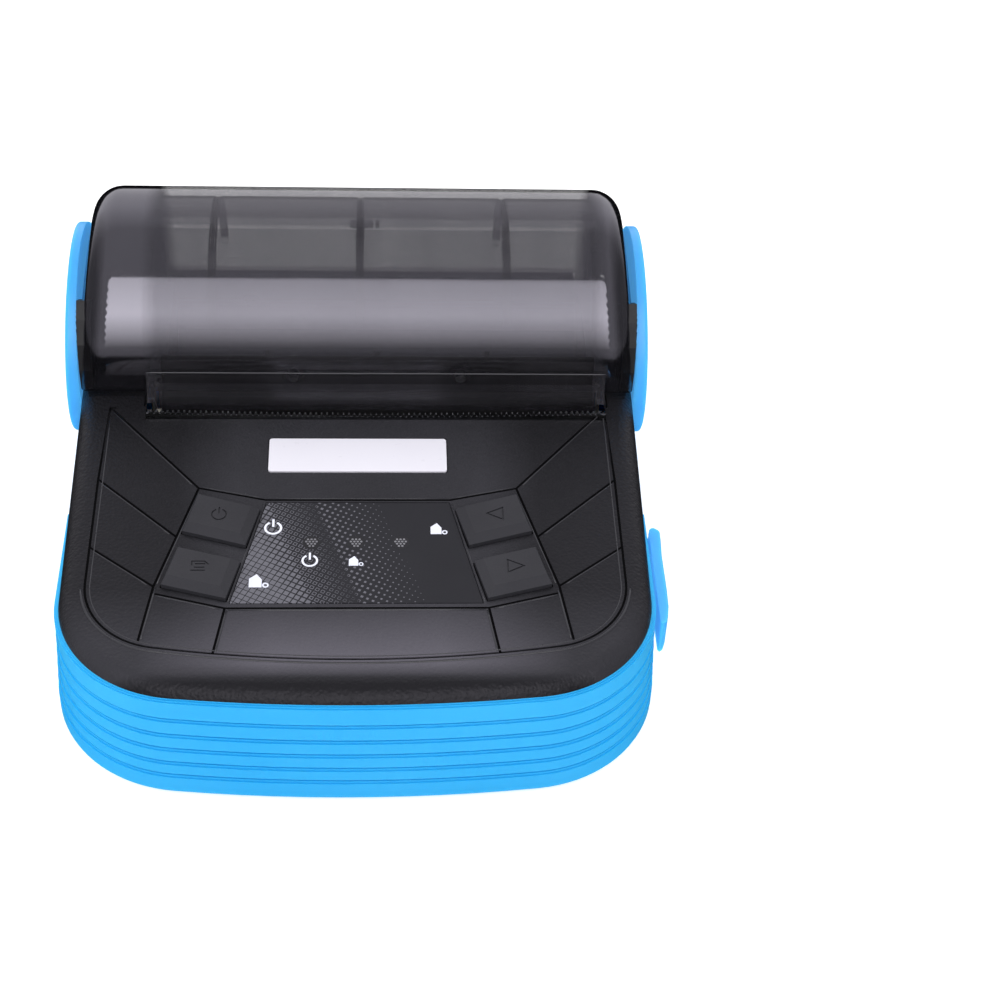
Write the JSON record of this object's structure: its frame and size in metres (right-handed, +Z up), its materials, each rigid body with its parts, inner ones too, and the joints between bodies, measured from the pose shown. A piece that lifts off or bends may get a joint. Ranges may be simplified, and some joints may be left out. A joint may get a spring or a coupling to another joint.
{
  "type": "portable receipt printer",
  "caption": "Portable thermal receipt printer with a hinged smoked paper cover, ribbed base shell, bevelled keys, toothed tear bar and a side port flap.",
  "frame": {"origin": "centre of the footprint on the plane that the rubber feet rest on", "axes": "+X to the right as the user faces the keys, +Y to the back where the paper cover is hinged, +Z up"},
  "size_m": [0.109, 0.1173, 0.0542],
  "materials": {
    "blue_shell": "satin moulded ABS, bright blue",
    "blue_cap": "smooth moulded ABS, bright blue",
    "black_shell": "fine spark-eroded texture, black",
    "smoked_cover": "polished, dark smoked and slightly see-through",
    "inner_black": "plain moulded, black",
    "platen_rubber": "ground matt",
    "steel": "bright drawn",
    "plated_steel": "zinc-plated sheet",
    "screw_steel": "plated, satin",
    "white_acetal": "moulded, off-white",
    "heatsink": "extruded, satin",
    "ceramic": "fired, glazed strip",
    "board_green": "solder mask over glass laminate",
    "chip_black": "moulded epoxy",
    "led_lens": "clear epoxy",
    "clear_guide": "clear moulded acrylic",
    "key_plastic": "satin moulded, charcoal",
    "printed_film": "printed film, light grey halftone on charcoal",
    "white_plate": "gloss white",
    "battery_wrap": "shrink sleeve",
    "gold": "gold-plated",
    "foot_rubber": "matt"
  },
  "bodies": {
    "base": {"bottom_case": "blue_shell", "top_housing": "black_shell", "left_side_cap": "blue_cap", "right_side_cap": "blue_cap", "paper_bay": "inner_black", "cover_hinge_pins": "steel", "stepper_motor": "plated_steel", "gear_posts": "steel", "mechanism_frame": "plated_steel", "mechanism_screws": "screw_steel", "head_pivot_rod": "steel", "head_springs": "steel", "tear_bar": "steel", "paper_sensor": "chip_black", "main_board": "board_green", "board_screws": "screw_steel", "board_chips": "chip_black", "radio_module": "plated_steel", "buzzer": "chip_black", "status_leds": "led_lens", "light_guides": "clear_guide", "key_switches": "chip_black", "cable_socket": "steel", "panel_overlay": "printed_film", "name_plate": "white_plate", "battery_pack": "battery_wrap", "battery_contacts": "gold", "contact_block": "chip_black", "port_cover_pin": "steel", "paper_bay_screws": "screw_steel", "case_screws": "screw_steel", "rubber_feet": "foot_rubber"},
    "cover": {"paper_cover": "smoked_cover", "platen_holder": "inner_black", "platen_holder_screws": "screw_steel", "platen_bushes": "white_acetal"},
    "platen": {"platen_roller": "platen_rubber", "platen_shaft": "steel", "platen_gear": "white_acetal"},
    "second_gear": {"second_reduction_gear": "white_acetal"},
    "first_gear": {"first_reduction_gear": "white_acetal"},
    "motor_rotor": {"motor_pinion": "gold", "motor_shaft": "steel"},
    "head": {"print_head_heatsink": "heatsink", "print_head": "ceramic"},
    "power_button": {"power_key": "key_plastic"},
    "feed_button": {"feed_key": "key_plastic"},
    "left_button": {"left_arrow_key": "key_plastic"},
    "right_button": {"right_arrow_key": "key_plastic"},
    "port_flap": {"port_cover": "blue_cap"},
    "battery_hatch": {"battery_door": "blue_shell"}
  },
  "joints": [
    {"name": "cover_hinge", "type": "hinge", "parent": "base", "child": "cover", "pos_m": [0, 0.0559, 0.0216], "axis": [-1, 0, 0], "range_deg": [0, 95]},
    {"name": "platen_spin", "type": "hinge", "parent": "cover", "child": "platen", "pos_m": [0, 0.0142, 0.018], "axis": [1, 0, 0], "continuous": true},
    {"name": "second_gear_spin", "type": "hinge", "parent": "base", "child": "second_gear", "pos_m": [-0.0387, 0.01492, 0.01003], "axis": [1, 0, 0], "continuous": true},
    {"name": "first_gear_spin", "type": "hinge", "parent": "base", "child": "first_gear", "pos_m": [-0.041, 0.00619, 0.0122], "axis": [1, 0, 0], "continuous": true},
    {"name": "motor_spin", "type": "hinge", "parent": "base", "child": "motor_rotor", "pos_m": [-0.04, -0.00379, 0.0129], "axis": [1, 0, 0], "continuous": true},
    {"name": "head_tilt", "type": "hinge", "parent": "base", "child": "head", "pos_m": [0.0034, 0.0079, 0.0104], "axis": [1, 0, 0], "range_deg": [0, 2], "stiffness_Nm_per_rad": 0.2, "springref_deg": -5.73, "deforming": ["head_springs"]},
    {"name": "power_key_press", "type": "slide", "parent": "base", "child": "power_button", "axis": [0, 0.0436, -0.999], "range_m": [0, 0.0005], "stiffness_N_per_m": 300, "springref_m": -0.0008},
    {"name": "feed_key_press", "type": "slide", "parent": "base", "child": "feed_button", "axis": [0, 0.0436, -0.999], "range_m": [0, 0.0005], "stiffness_N_per_m": 300, "springref_m": -0.0008},
    {"name": "left_arrow_key_press", "type": "slide", "parent": "base", "child": "left_button", "axis": [0, 0.0436, -0.999], "range_m": [0, 0.0005], "stiffness_N_per_m": 300, "springref_m": -0.0008},
    {"name": "right_arrow_key_press", "type": "slide", "parent": "base", "child": "right_button", "axis": [0, 0.0436, -0.999], "range_m": [0, 0.0005], "stiffness_N_per_m": 300, "springref_m": -0.0008},
    {"name": "port_cover_hinge", "type": "hinge", "parent": "base", "child": "port_flap", "pos_m": [0.053, -0.0149, 0.0168], "axis": [0, 0, 1], "range_deg": [0, 100]},
    {"name": "battery_door_hinge", "type": "hinge", "parent": "base", "child": "battery_hatch", "pos_m": [0, -0.0139, 0.00165], "axis": [1, 0, 0], "range_deg": [0, 70]}
  ],
  "couplings": [
    {"joint": "second_gear_spin", "follows": "platen_spin", "ratio": -1.1333},
    {"joint": "first_gear_spin", "follows": "platen_spin", "ratio": 2.2667},
    {"joint": "motor_spin", "follows": "platen_spin", "ratio": -5.2889}
  ]
}
